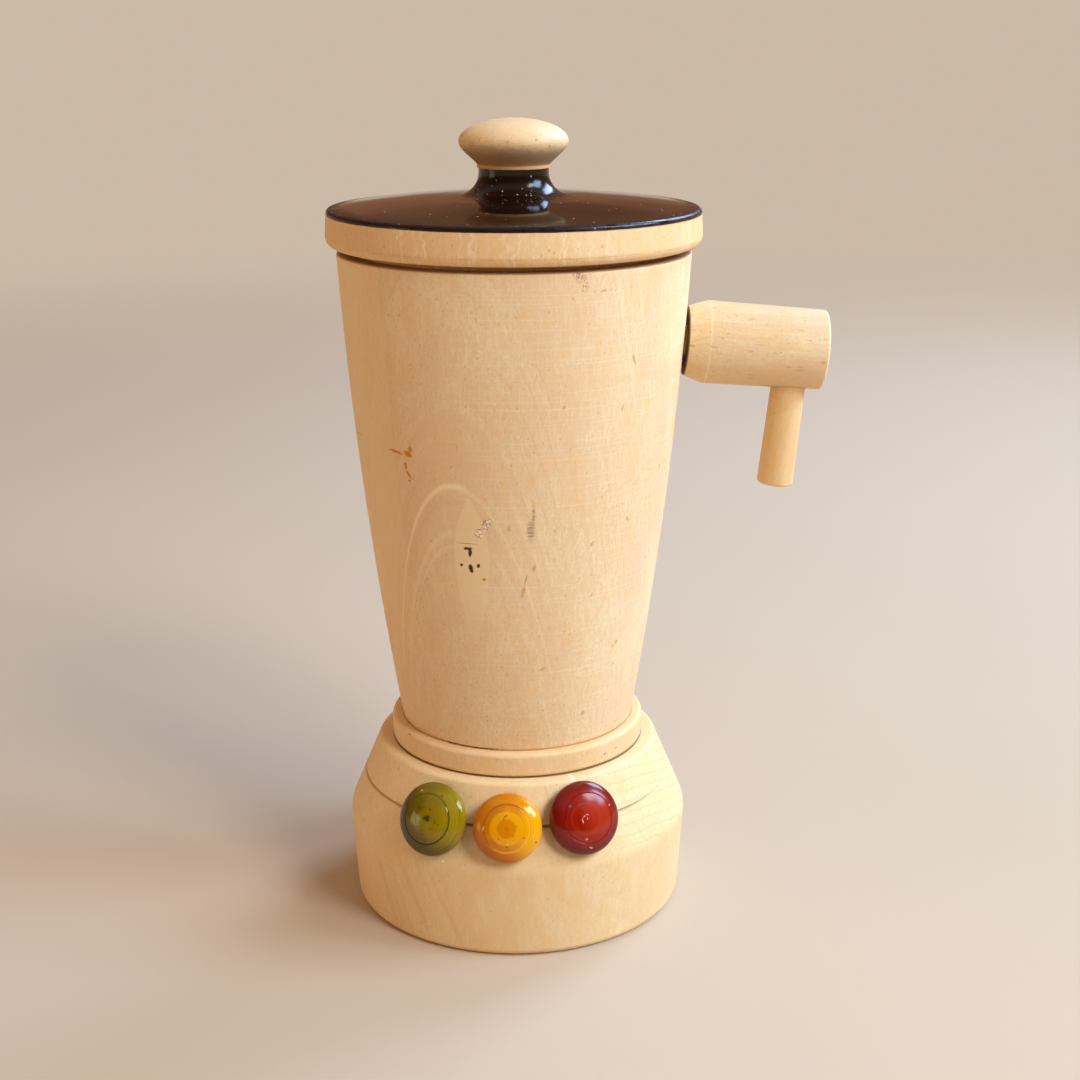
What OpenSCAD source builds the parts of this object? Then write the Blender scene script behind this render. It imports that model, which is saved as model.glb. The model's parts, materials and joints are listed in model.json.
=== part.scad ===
// Toy blender: a jar with a lid and a side handle, standing on a round base
// with three turning knobs. Every piece is turned from pale wood, and some
// are lacquered. Lengths are in millimetres, angles in degrees.
// The origin is the middle of the underside of the base, +Z is up, and +X
// points along the handle. The knobs face -Y.

/* [Base] */
// Height of the base
base_h = 34.5; // [30:0.5:45]
// Diameter of the base at its shoulder, where it is widest
base_d = 70.1; // [66:0.2:84]
// Height of the shoulder above the ground
shoulder_z = 19; // [12:0.5:22]
// Radius that softens the shoulder
shoulder_r = 6; // [1:0.5:8]
// How far the wall draws in from the shoulder down to the ground
wall_draw = 1.2; // [0:0.1:3]
// Width of the flat ledge left round the foot of the jar
base_ledge = 2.6; // [1:0.1:4]
// Rounding of the edge that stands on the ground
ground_r = 1.6; // [0.4:0.1:3]
// Rounding of the upper edge of the base
ledge_r = 1.2; // [0.3:0.1:2]
// Distance from the top of the base down to the scribed line
scribe_drop = 7.7; // [6.5:0.1:9.5]
// Width of the scribed line
scribe_w = 0.7; // [0.3:0.1:1.2]

/* [Knobs on the base] */
// Diameter of the two outer knobs
knob_d = 14.3; // [11:0.1:15]
// Diameter of the middle knob
middle_knob_d = 13.4; // [11:0.1:15]
// Height of a knob's head
knob_h = 5; // [3.5:0.1:8]
// Height of the widest part of a knob above its underside
knob_belly_h = 1.8; // [1:0.1:2.4]
// How far the underside of a knob draws in from its widest part
knob_under_in = 1.4; // [0.5:0.1:2.5]
// Diameter of the ring turned into the dome of a knob, as a share of the dome
knob_ring = 0.68; // [0.45:0.01:0.85]
// Width of the groove of that ring
knob_ring_w = 0.35; // [0.2:0.05:0.6]
// Angle between neighbouring knobs, seen from above
knob_step = 26; // [26:0.5:32]
// Angle by which the row of knobs is turned out of square to the handle
knob_row_turn = -4.5; // [-12:0.5:12]
// How much higher up the cone the red knob sits than the other two
red_knob_rise = 0.75; // [0:0.05:1.5]
// Diameter of a knob's shank
shank_d = 4; // [3:0.1:6]
// Length of a knob's shank
shank_len = 8; // [5:0.5:11]
// Gap between a knob's head and the base
head_gap = 0.3; // [0.2:0.05:0.6]

/* [Seat peg] */
// Diameter of the loose peg that centres the jar on the base
seat_peg_d = 10; // [7:0.5:13]
// Length of the seat peg inside the base
seat_peg_in_base = 8; // [5:0.5:12]
// Length of the seat peg inside the foot of the jar
seat_peg_in_foot = 7; // [4:0.5:9]
// Bevel at both ends of the seat peg
seat_peg_bevel = 0.6; // [0.2:0.1:1.2]

/* [Jar] */
// Height of the jar without its foot
jar_h = 94.7; // [80:0.5:120]
// Outer diameter of the jar at its rim
jar_top_d = 68.6; // [64:0.2:80]
// Outer diameter of the jar where it meets its foot
jar_bottom_d = 47.4; // [42:0.2:50]
// How far the wall swells out beyond a straight taper
jar_bulge = 1.3; // [0:0.1:2.5]
// Thickness of the wall, at the rim and at the floor
jar_wall = 5.5; // [5:0.1:7]
// Thickness of the jar's floor
floor_t = 7; // [6:0.5:12]
// Rounding of the corner between wall and floor inside the jar
floor_corner_r = 3; // [1:0.5:5]
// Depth of the straight mouth that takes the lid
mouth_h = 8; // [7:0.5:12]
// Rounding of the jar's rim
rim_r = 0.6; // [0.2:0.1:1]

/* [Foot of the jar] */
// Height of the foot
foot_h = 4.9; // [4:0.1:8]
// Width of the flat step between the jar and the edge of its foot
foot_step = 2.2; // [1:0.1:4]
// Rounding of the edges of the foot
foot_r = 0.9; // [0.3:0.1:1.5]
// Diameter of the tenon that joins the foot to the jar
foot_tenon_d = 18; // [16:0.5:24]

/* [Lid] */
// How far the lid stands out beyond the rim of the jar
lid_overhang = 2.1; // [0.5:0.1:5]
// Thickness of the lid at its edge
lid_t = 7; // [5:0.1:10]
// How far the top edge of the lid draws in
lid_draw = 0.4; // [0:0.1:1]
// Rounding of the lower edge of the lid
lid_under_r = 2; // [0.5:0.1:2.4]
// Rounding of the upper edge of the lid
lid_top_r = 0.8; // [0.3:0.1:1.2]
// Height of the dome on the lid
dome_h = 2.6; // [1:0.1:5]
// Height of the shoulder that holds the lid clear of the rim
lid_gap = 1.1; // [0.5:0.1:3]
// Width of the seat of that shoulder on the rim
seat_w = 2.3; // [1:0.1:3.5]
// Depth of the plug that enters the mouth
plug_h = 5; // [3:0.5:6]
// Rounding of the lower edge of the plug
plug_r = 0.8; // [0.3:0.1:1.5]
// Diameter of the neck
neck_d = 13.5; // [11:0.1:17]
// Height of the straight part of the neck, above its cove
neck_h = 0.6; // [0.3:0.1:5]
// Radius of the cove between neck and dome
cove_r = 4.3; // [1:0.1:5]

/* [Lid knob] */
// Diameter of the lid knob
lid_knob_d = 21; // [18:0.1:28]
// Height of the lid knob
lid_knob_h = 9.2; // [7:0.1:14]
// Height of the widest part of the lid knob above its underside
lid_knob_belly_h = 4.9; // [3:0.1:6]
// How late the lid knob swells above its ring, where 1 is an even quarter curve
lid_knob_swell = 1.2; // [0.8:0.05:1.8]
// Width by which the ring under the knob overhangs the neck
ring_lip = 0.25; // [0.1:0.05:1]
// Height of the ring under the knob
ring_h = 0.6; // [0.3:0.1:1.2]
// Diameter of the tenon under the lid knob
knob_tenon_d = 6; // [4:0.5:8]
// Length of the tenon under the lid knob
knob_tenon_len = 7; // [4:0.5:9]

/* [Handle] */
// Distance from the rim of the jar down to the middle of the handle bar
handle_drop = 18; // [15:0.1:50]
// Diameter of the handle bar where it is thickest, at the end of its cone
bar_d = 16.3; // [14:0.1:22]
// How much thinner the bar gets towards its outer end
bar_taper = 0.6; // [0:0.1:2]
// Length of the handle bar
bar_len = 27.4; // [26:0.1:45]
// Length of the cone at the inner end of the bar
bar_cone_len = 3.9; // [1:0.1:6]
// How far that cone draws in
bar_cone_in = 1.35; // [0.5:0.05:3]
// Rounding of the outer end of the bar
bar_end_r = 0.6; // [0.2:0.1:2]
// Gap between the bar and the jar, bridged by the dowel
bar_gap = 0.5; // [0.3:0.1:3]
// Diameter of the dowel between the jar and the bar
dowel_d = 5.8; // [4:0.1:8]
// Length of the dowel inside the jar's wall
dowel_in_wall = 4; // [3:0.1:4.4]
// Length of the dowel inside the bar
dowel_in_bar = 12; // [8:0.5:14]
// Diameter of the peg that hangs from the bar
grip_d = 6.8; // [5:0.1:9]
// How much thicker the peg gets towards its lower end
grip_flare = 0.4; // [0:0.1:1.5]
// Angle by which the peg leans from square to the bar, towards the jar
grip_lean = 1.3; // [0:0.1:4]
// Length of that peg below the bar
grip_len = 19.5; // [12:0.1:40]
// Length of that peg inside the bar
grip_in_bar = 9; // [5:0.5:11]
// Distance from the outer end of the bar to the middle of the peg
grip_inset = 5.9; // [5:0.1:7]
// Rounding of the lower end of the peg
grip_end_r = 0.5; // [0.2:0.1:1.5]

/* [Fits] */
// Clearance on the radius round a piece that turns or slides
turn_fit = 0.05; // [0.02:0.01:0.1]
// Glue line on the radius round a piece that is fixed
glue_fit = 0.03; // [0.02:0.01:0.1]
// Space left past the end of a tenon, dowel or shank
end_space = 0.5; // [0.3:0.1:1]
// Clearance on the radius round the lid's plug
plug_fit = 0.4; // [0.3:0.05:0.8]

/* [Hidden] */
$fn = 96;

// Colours of the bare wood and of the lacquers
pale_wood = "#e9cfa2";
jar_wood = "#edd3ab";
brown_lacquer = "#34120a";
green_lacquer = "#6f7a12";
yellow_lacquer = "#e39a0c";
red_lacquer = "#8e170c";

// Each round corner and each curve is drawn in this many steps
corner_steps = 6;
curve_steps = 12;
// A cut starts this far outside its face, and a tenon sinks this far into its piece
over = 1;

// Diameters that follow the jar
foot_d = jar_bottom_d + 2 * foot_step;
base_top_d = foot_d + 2 * base_ledge;
lid_d = jar_top_d + 2 * lid_overhang;
mouth_d = jar_top_d - 2 * jar_wall;

// Heights of the faces that the pieces stand on
foot_z = base_h;
jar_z = foot_z + foot_h;
rim_z = jar_z + jar_h;
lid_z = rim_z + lid_gap;
neck_top = lid_t + dome_h + cove_r + neck_h;
neck_z = lid_z + neck_top;

// The cone above the shoulder leans in by this angle from upright. The
// scribed line and the knobs lie on it.
cone_lean = atan((base_d - base_top_d) / 2 / (base_h - shoulder_z));
scribe_z = base_h - scribe_drop;
scribe_r = base_top_d / 2 + scribe_drop * tan(cone_lean);

// The swelling wall of the jar: t is 0 at the foot and 1 at the rim
function jar_r(t) = jar_bottom_d / 2 + (jar_top_d - jar_bottom_d) / 2 * t
    + 4 * jar_bulge * t * (1 - t);
function jar_slope(t) = ((jar_top_d - jar_bottom_d) / 2 + 4 * jar_bulge * (1 - 2 * t)) / jar_h;

// The handle stands square to the wall where it joins it
handle_t = 1 - handle_drop / jar_h;
handle_lean = atan(jar_slope(handle_t));

// The dome is part of a ball whose top is on the axis
dome_span = lid_d / 2 - lid_draw;
dome_r = (pow(dome_span, 2) + pow(dome_h, 2)) / (2 * dome_h);
function dome_z(r) = sqrt(pow(dome_r, 2) - pow(r, 2)) - dome_r + dome_h;

// Points of an outline [[x, z, r], ...] with each corner rounded to its r
function unit(v) = v / norm(v);
function flat(p) = [p.x, p.y];
function corner(a, b, c, r) =
    let (
        u = unit(a - b),
        w = unit(c - b),
        half = acos(u * w) / 2,
        middle = b + unit(u + w) * r / sin(half),
        start = b + u * r / tan(half) - middle,
        end = b + w * r / tan(half) - middle,
        from = atan2(start.y, start.x),
        sweep = atan2(cross(start, end), start * end)
    )
    [for (i = [0:corner_steps])
        let (a = from + sweep * i / corner_steps) middle + r * [cos(a), sin(a)]];
function soft(o) = [for (i = [0:len(o) - 1]) each
    o[i][2] > 0
        ? corner(flat(o[i - 1]), flat(o[i]), flat(o[i + 1]), o[i][2])
        : [flat(o[i])]];

// A solid turned on the lathe from one side of its outline
module turned(outline) {
    rotate_extrude() polygon(soft(outline));
}

// A bore that starts a little outside the face at z = 0 and goes down
module bore(d, depth) {
    translate([0, 0, -depth]) cylinder(d = d, h = depth + over);
}

// Place of a knob: on the scribed line, the red one a little higher
module at_knob(index) {
    rise = index == 1 ? red_knob_rise : 0;
    rotate([0, 0, -90 + knob_row_turn + index * knob_step])
        translate([scribe_r, 0, scribe_z])
            rotate([0, 90 - cone_lean, 0]) translate([-rise, 0, 0]) children();
}

// Place of the handle: on the wall of the jar, square to it
module at_handle() {
    translate([jar_r(handle_t), 0, rim_z - handle_drop])
        rotate([0, 90 + handle_lean, 0]) children();
}

// The hanging peg starts on the axis of the bar and leans towards the jar
module at_grip() {
    at_handle() translate([0, 0, bar_gap + bar_len - grip_inset])
        rotate([0, 90 + grip_lean, 0]) children();
}

// Round base with a coned shoulder, a scribed line, a blind bore for the
// seat peg and three blind bores for the knobs
module base() {
    color(pale_wood) difference() {
        turned([
            [0, 0, 0],
            [base_d / 2 - wall_draw, 0, ground_r],
            [base_d / 2, shoulder_z, shoulder_r],
            [base_top_d / 2, base_h, ledge_r],
            [0, base_h, 0]]);
        rotate_extrude() translate([scribe_r, scribe_z])
            rotate(45 + cone_lean) square(scribe_w / sqrt(2), center = true);
        translate([0, 0, base_h])
            bore(seat_peg_d + 2 * turn_fit, seat_peg_in_base);
        for (index = [-1:1]) at_knob(index)
            bore(shank_d + 2 * turn_fit, shank_len + end_space);
    }
}

// Loose dowel that stands in the base and centres the jar
module seat_peg() {
    peg_len = seat_peg_in_base + seat_peg_in_foot;
    color(pale_wood) translate([0, 0, base_h - seat_peg_in_base]) rotate_extrude()
        polygon([
            [0, 0],
            [seat_peg_d / 2 - seat_peg_bevel, 0],
            [seat_peg_d / 2, seat_peg_bevel],
            [seat_peg_d / 2, peg_len - seat_peg_bevel],
            [seat_peg_d / 2 - seat_peg_bevel, peg_len],
            [0, peg_len]]);
}

// Foot ring of the jar, with a tenon above and the seat peg's socket below
module jar_foot() {
    color(pale_wood) translate([0, 0, foot_z]) difference() {
        union() {
            turned([
                [0, 0, 0],
                [foot_d / 2, 0, foot_r],
                [foot_d / 2, foot_h, foot_r],
                [0, foot_h, 0]]);
            cylinder(d = foot_tenon_d, h = foot_h + floor_t);
        }
        rotate([180, 0, 0])
            bore(seat_peg_d + 2 * turn_fit, seat_peg_in_foot + end_space);
    }
}

// Tapered jar with a swelling wall, a straight mouth for the lid, a hole in
// the floor for the tenon of the foot, and a blind hole for the handle
module jar_body() {
    color(jar_wood) difference() {
        translate([0, 0, jar_z]) difference() {
            rotate_extrude() polygon(soft(concat(
                [[0, 0, 0]],
                [for (i = [0:curve_steps - 1])
                    [jar_r(i / curve_steps), jar_h * i / curve_steps, 0]],
                [[jar_top_d / 2, jar_h, rim_r],
                    [mouth_d / 2, jar_h, rim_r],
                    [mouth_d / 2, jar_h - mouth_h, 0],
                    [jar_bottom_d / 2 - jar_wall, floor_t, floor_corner_r],
                    [0, floor_t, 0]])));
            translate([0, 0, floor_t])
                bore(foot_tenon_d + 2 * glue_fit, floor_t + over);
        }
        at_handle() bore(dowel_d + 2 * glue_fit, dowel_in_wall + end_space);
    }
}

// Dowel that joins the handle bar to the jar
module handle_dowel() {
    color(pale_wood) at_handle() translate([0, 0, -dowel_in_wall])
        cylinder(d = dowel_d, h = dowel_in_wall + bar_gap + dowel_in_bar);
}

// Handle bar: a cylinder with a coned inner end
module handle_bar() {
    color(pale_wood) difference() {
        at_handle() translate([0, 0, bar_gap]) difference() {
            turned([
                [0, 0, 0],
                [bar_d / 2 - bar_cone_in, 0, 0],
                [bar_d / 2, bar_cone_len, 0],
                [bar_d / 2 - bar_taper / 2, bar_len, bar_end_r],
                [0, bar_len, 0]]);
            rotate([180, 0, 0])
                bore(dowel_d + 2 * glue_fit, dowel_in_bar + end_space);
        }
        at_grip() translate([0, 0, bar_d / 2 - grip_in_bar - end_space])
            cylinder(d = grip_d + 2 * glue_fit, h = grip_in_bar + end_space + over);
    }
}

// Round peg that hangs from the bar, the part that fingers hook behind
module handle_peg() {
    color(pale_wood) at_grip() translate([0, 0, bar_d / 2 - grip_in_bar])
        turned([
            [0, 0, 0],
            [grip_d / 2, 0, 0],
            [grip_d / 2, grip_in_bar, 0],
            [(grip_d + grip_flare) / 2, grip_in_bar + grip_len, grip_end_r],
            [0, grip_in_bar + grip_len, 0]]);
}

// Lid: plug, shoulder, disc, domed top and neck in one turned piece, with a
// blind bore for the tenon of its knob
module lid_disc() {
    plug_d = mouth_d - 2 * plug_fit;
    seat_d = mouth_d + 2 * seat_w;
    cove_start = neck_d / 2 + 2 * cove_r;
    color(brown_lacquer) translate([0, 0, lid_z]) difference() {
        rotate_extrude() polygon(soft(concat(
            [[0, -lid_gap - plug_h, 0],
                [plug_d / 2, -lid_gap - plug_h, plug_r],
                [plug_d / 2, -lid_gap, 0],
                [seat_d / 2, -lid_gap, 0],
                [seat_d / 2, 0, 0],
                [lid_d / 2, 0, lid_under_r],
                [lid_d / 2 - lid_draw, lid_t, lid_top_r]],
            [for (i = [1:curve_steps])
                let (r = dome_span + (cove_start - dome_span) * i / curve_steps)
                [r, lid_t + dome_z(r), 0]],
            [[neck_d / 2, lid_t + dome_z(neck_d / 2), cove_r],
                [neck_d / 2, neck_top, 0],
                [0, neck_top, 0]])));
        translate([0, 0, neck_top])
            bore(knob_tenon_d + 2 * glue_fit, knob_tenon_len + end_space);
    }
}

// Lid knob: an oblate ball over a thin ring, with a tenon below
module lid_knob() {
    waist_r = neck_d / 2 + ring_lip;
    swell = lid_knob_d / 2 - waist_r;
    dome = lid_knob_h - lid_knob_belly_h;
    color(pale_wood) translate([0, 0, neck_z]) union() {
        rotate_extrude() polygon(concat(
            [[0, 0], [waist_r, 0]],
            [for (i = [0:curve_steps])
                let (t = i / curve_steps)
                [waist_r + swell * sin(90 * pow(t, lid_knob_swell)),
                    ring_h + (lid_knob_belly_h - ring_h) * t]],
            [for (i = [1:curve_steps])
                let (a = 90 * i / curve_steps)
                [lid_knob_d / 2 * cos(a), lid_knob_belly_h + dome * sin(a)]]));
        translate([0, 0, -knob_tenon_len])
            cylinder(d = knob_tenon_d, h = knob_tenon_len + over);
    }
}

// A knob of the base: a domed head with a ring turned into it, on a shank
// that turns in its bore
module turning_knob(index, d, paint) {
    under_r = d / 2 - knob_under_in;
    dome = knob_h - knob_belly_h;
    ring_a = acos(knob_ring);
    ring_lean = atan2(d / 2 * sin(ring_a), dome * cos(ring_a));
    color(paint) at_knob(index) translate([0, 0, head_gap]) difference() {
        union() {
            rotate_extrude() polygon(concat(
                [[0, 0]],
                [for (i = [0:corner_steps])
                    let (a = 90 * i / corner_steps)
                    [under_r + knob_under_in * sin(a), knob_belly_h * (1 - cos(a))]],
                [for (i = [1:curve_steps])
                    let (a = 90 * i / curve_steps)
                    [d / 2 * cos(a), knob_belly_h + dome * sin(a)]]));
            translate([0, 0, -head_gap - shank_len])
                cylinder(d = shank_d, h = shank_len + head_gap + over);
        }
        rotate_extrude() translate([d / 2 * cos(ring_a), knob_belly_h + dome * sin(ring_a)])
            rotate(45 + ring_lean) square(knob_ring_w / sqrt(2), center = true);
    }
}

module button_green() { turning_knob(-1, knob_d, green_lacquer); }
module button_yellow() { turning_knob(0, middle_knob_d, yellow_lacquer); }
module button_red() { turning_knob(1, knob_d, red_lacquer); }

base();
seat_peg();
jar_foot();
jar_body();
handle_dowel();
handle_bar();
handle_peg();
lid_disc();
lid_knob();
button_green();
button_yellow();
button_red();
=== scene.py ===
import json
import math

import bpy
from mathutils import Matrix, Vector


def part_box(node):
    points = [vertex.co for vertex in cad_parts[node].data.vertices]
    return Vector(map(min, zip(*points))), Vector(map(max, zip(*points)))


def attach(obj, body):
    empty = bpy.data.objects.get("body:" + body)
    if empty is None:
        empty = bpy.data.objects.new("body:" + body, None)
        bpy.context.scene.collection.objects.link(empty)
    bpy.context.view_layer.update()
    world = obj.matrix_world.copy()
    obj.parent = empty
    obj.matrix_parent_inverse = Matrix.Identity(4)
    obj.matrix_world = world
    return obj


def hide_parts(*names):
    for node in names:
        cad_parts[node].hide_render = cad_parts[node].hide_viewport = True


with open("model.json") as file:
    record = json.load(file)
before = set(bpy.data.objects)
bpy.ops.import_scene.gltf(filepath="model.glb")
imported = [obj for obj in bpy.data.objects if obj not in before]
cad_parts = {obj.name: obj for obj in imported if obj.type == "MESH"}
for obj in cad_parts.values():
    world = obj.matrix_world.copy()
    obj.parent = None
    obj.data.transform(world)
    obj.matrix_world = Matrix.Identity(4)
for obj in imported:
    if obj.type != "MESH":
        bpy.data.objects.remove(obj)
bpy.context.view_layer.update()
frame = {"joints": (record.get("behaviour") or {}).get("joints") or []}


# ---- Base ---------------------------------------------------------------------------------------
# The base is one solid disc of pale, close-grained wood, turned on a lathe, sanded and left bare. It
# has a scribed line round its cone, a blind bore on top for the seat peg and three slanted bores for
# the knobs' shanks.

mm = 0.001
base_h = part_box("base")[1].z
base_r = 35.05 * mm
shoulder_z = 19 * mm
ledge_r = 28.5 * mm
wall_draw = 1.2 * mm
ground_rounding = 1.6 * mm
shoulder_rounding = 6 * mm
ledge_rounding = 1.2 * mm
scribe_drop = 7.7 * mm
scribe_w = 0.7 * mm
seat_bore_r = 5.05 * mm
seat_bore_depth = 8 * mm
shank_bore_r = 2.05 * mm
shank_bore_depth = 8.5 * mm
cone_lean = math.atan((base_r - ledge_r) / (base_h - shoulder_z))


def rounded(corners, steps=12):
    """Points (radius, height) of an outline. A corner's third number rounds it with an arc."""
    points = []
    for i, (r, z, *rounding) in enumerate(corners):
        here = Vector((r, z))
        if not rounding:
            points.append((r, z))
            continue
        back = (Vector(corners[i - 1][:2]) - here).normalized()
        on = (Vector(corners[i + 1][:2]) - here).normalized()
        half = back.angle(on) / 2
        middle = here + (back + on).normalized() * rounding[0] / math.sin(half)
        spoke = here + back * rounding[0] / math.tan(half) - middle
        last = here + on * rounding[0] / math.tan(half) - middle
        sweep = math.atan2(spoke.x * last.y - spoke.y * last.x, spoke.dot(last))
        for step in range(steps + 1):
            points.append(tuple(middle + Matrix.Rotation(sweep * step / steps, 2) @ spoke))
    return points


class Value:
    """What a node gives, so that what varies over a surface is written as sums."""

    def __init__(self, nodes, socket):
        self.nodes, self.socket = nodes, socket

    def math(self, operation, first, second=0.0):
        return self.nodes.node("ShaderNodeMath", {"operation": operation}, {0: first, 1: second})

    def __add__(self, other):
        return self.math("ADD", self, other)

    def __radd__(self, other):
        return self.math("ADD", other, self)

    def __sub__(self, other):
        return self.math("SUBTRACT", self, other)

    def __rsub__(self, other):
        return self.math("SUBTRACT", other, self)

    def __mul__(self, other):
        return self.math("MULTIPLY", self, other)

    def __rmul__(self, other):
        return self.math("MULTIPLY", other, self)

    def __truediv__(self, other):
        return self.math("DIVIDE", self, other)

    def __abs__(self):
        return self.math("ABSOLUTE", self)

    def most(self, other):
        return self.math("MAXIMUM", self, other)

    def rise(self, start, end):
        """0 before start and 1 past end, smooth between them."""
        return self.nodes.node("ShaderNodeMapRange", {"interpolation_type": "SMOOTHSTEP"}, {
            "Value": self, "From Min": start, "From Max": end})

    def near(self, middle, inner, outer):
        """1 within inner of the middle and 0 past outer."""
        return abs(self - middle).rise(outer, inner)

    def lines(self, half_width):
        """Thin soft lines, one at each whole number."""
        return self.math("PINGPONG", self, 0.5).rise(half_width, 0.0)


class Nodes:
    """The nodes of one tree, added one at a time."""

    def __init__(self, tree):
        self.tree = tree
        tree.nodes.clear()

    def node(self, kind, settings=(), sockets=(), output=0):
        """Adds a node: its settings first, a ramp's stops among them, then its sockets."""
        made = self.tree.nodes.new(kind)
        for name, setting in dict(settings).items():
            if name == "stops":
                ramp = made.color_ramp
                while len(ramp.elements) < len(setting):
                    ramp.elements.new(1)
                for element, (position, colour) in zip(ramp.elements, setting):
                    element.position = position
                    element.color = (*colour, 1)
            else:
                setattr(made, name, setting)
        for name, value in dict(sockets).items():
            if isinstance(value, Value):
                self.tree.links.new(value.socket, made.inputs[name])
            elif isinstance(value, tuple) and made.inputs[name].type == "RGBA":
                made.inputs[name].default_value = (*value, 1)
            else:
                made.inputs[name].default_value = value
        return Value(self, made.outputs[output]) if made.outputs else None

    def mix(self, colour, other, share):
        """One colour changed towards another by a share from 0 to 1."""
        return self.node("ShaderNodeMix", {"data_type": "RGBA"},
                         {"Factor": share, 6: colour, 7: other}, 2)

    def vector(self, operation, first, second=(0, 0, 0), output=0):
        return self.node("ShaderNodeVectorMath", {"operation": operation},
                         {0: first, 1: second}, output)

    def scaled(self, vector, *factors):
        return self.vector("MULTIPLY", vector, factors)

    def length(self, vector):
        return self.vector("LENGTH", vector, output="Value")

    def axis(self, vector, number):
        """One of a vector's coordinates: 0, 1 or 2 for X, Y or Z."""
        return self.node("ShaderNodeSeparateXYZ", (), {0: vector}, number)

    def noise(self, vector, *factors, detail=2.0, roughness=0.5):
        """Noise from 0 to 1 on a vector stretched by three factors."""
        return self.node("ShaderNodeTexNoise", (), {
            "Vector": self.scaled(vector, *factors), "Scale": 1.0,
            "Detail": detail, "Roughness": roughness})

    def wave_of(self, value, detail=3.0, roughness=0.6):
        """Uneven lines along one number."""
        return self.node("ShaderNodeTexNoise", {"noise_dimensions": "1D"}, {
            "W": value, "Scale": 1.0, "Detail": detail, "Roughness": roughness})


def turning_tree():
    """Geometry Nodes that turn an outline, points (radius, 0, height), about the upright axis."""
    tree = bpy.data.node_groups.new("turning", "GeometryNodeTree")
    for name, kind, way in (("Outline", "Geometry", "INPUT"), ("Steps Around", "Int", "INPUT"),
                            ("Sharp Edge Angle", "Float", "INPUT"), ("Wood", "Material", "INPUT"),
                            ("Solid", "Geometry", "OUTPUT")):
        tree.interface.new_socket(name, in_out=way, socket_type="NodeSocket" + kind)
    node = Nodes(tree).node

    def given(name):
        return node("NodeGroupInput", output=name)

    def count(operation, a, b):
        return node("FunctionNodeIntegerMath", {"operation": operation}, {0: a, 1: b})

    rows = node("GeometryNodeAttributeDomainSize", {"component": "MESH"},
                {"Geometry": given("Outline")}, "Point Count")
    net = node("GeometryNodeMeshGrid", (), {
        "Vertices X": count("ADD", given("Steps Around"), 1), "Vertices Y": rows}, "Mesh")
    index = node("GeometryNodeInputIndex")
    on_outline = node("GeometryNodeSampleIndex", {"data_type": "FLOAT_VECTOR", "domain": "POINT"}, {
        "Geometry": given("Outline"), "Value": node("GeometryNodeInputPosition"),
        "Index": count("MODULO", index, rows)})
    angle = count("DIVIDE_FLOOR", index, rows) / given("Steps Around") * -math.tau
    round_axis = node("ShaderNodeVectorRotate", {"rotation_type": "Z_AXIS"},
                      {"Vector": on_outline, "Angle": angle})
    moved = node("GeometryNodeSetPosition", (), {"Geometry": net, "Position": round_axis})
    closed = node("GeometryNodeMergeByDistance", (), {"Geometry": moved, "Distance": 0.002 * mm})
    smooth = node("GeometryNodeSetShadeSmooth", {"domain": "FACE"},
                  {"Geometry": closed, "Shade Smooth": True})
    too_sharp = node("FunctionNodeCompare", {"operation": "GREATER_THAN"}, {
        "A": node("GeometryNodeInputMeshEdgeAngle", output="Unsigned Angle"),
        "B": given("Sharp Edge Angle")})
    edged = node("GeometryNodeSetShadeSmooth", {"domain": "EDGE"}, {
        "Geometry": smooth, "Selection": too_sharp, "Shade Smooth": False})
    plain = node("GeometryNodeRealizeInstances", (), {"Geometry": edged})
    painted = node("GeometryNodeSetMaterial", (), {"Geometry": plain, "Material": given("Wood")})
    node("NodeGroupOutput", (), {"Solid": painted})
    return tree


turning = turning_tree()
socket_of = {item.name: item.identifier for item in turning.interface.items_tree}
sharp_edge = math.radians(24)


def turned(name, outline, wood, place=None, steps=224):
    """A piece turned on the lathe from one side of its outline, then set in its place."""
    side = bpy.data.meshes.new(name + "_outline")
    side.from_pydata([(r, 0, z) for r, z in outline], [], [])
    lathe = bpy.data.objects.new(name + "_lathe", side)
    bpy.context.scene.collection.objects.link(lathe)
    modifier = lathe.modifiers.new("turning", "NODES")
    modifier.node_group = turning
    modifier[socket_of["Steps Around"]] = steps
    modifier[socket_of["Sharp Edge Angle"]] = sharp_edge
    modifier[socket_of["Wood"]] = wood
    return plain_piece(name, lathe, place)


def plain_piece(name, rough, place=None):
    """A piece with the evaluated mesh of a rough one, which is removed with its modifiers."""
    seen = rough.evaluated_get(bpy.context.evaluated_depsgraph_get())
    mesh = bpy.data.meshes.new_from_object(seen)
    mesh.name = name
    mesh.transform(place or Matrix())
    bpy.data.objects.remove(rough)
    piece = bpy.data.objects.new(name, mesh)
    bpy.context.scene.collection.objects.link(piece)
    return piece


def drilled(piece, places, bore_r, depth):
    """The piece with round blind bores, each going down from the origin of its place."""
    over = 2 * mm
    bits = []
    for i, place in enumerate(places):
        outline = [(0, over), (bore_r, over), (bore_r, -depth), (0, -depth)]
        bit = turned(f"bit_{i}", outline, None, place, steps=48)
        bits.append(bit)
        cut = piece.modifiers.new("bore", "BOOLEAN")
        cut.operation, cut.solver, cut.object = "DIFFERENCE", "EXACT", bit
    name = piece.name
    piece.name = name + "_blank"
    done = plain_piece(name, piece)
    for bit in bits:
        bpy.data.objects.remove(bit)
    return done


def joint_place(name):
    """Place of a knob: origin on the cone, Z out along its axis and X to the right."""
    joint = next(joint for joint in frame["joints"] if joint["name"] == name)
    out = Vector(joint["axis"]).normalized()
    right = Vector((0, 0, 1)).cross(out).normalized()
    turn = Matrix((right, out.cross(right), out)).transposed().to_4x4()
    return Matrix.Translation(joint["pos_m"]) @ turn


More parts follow.
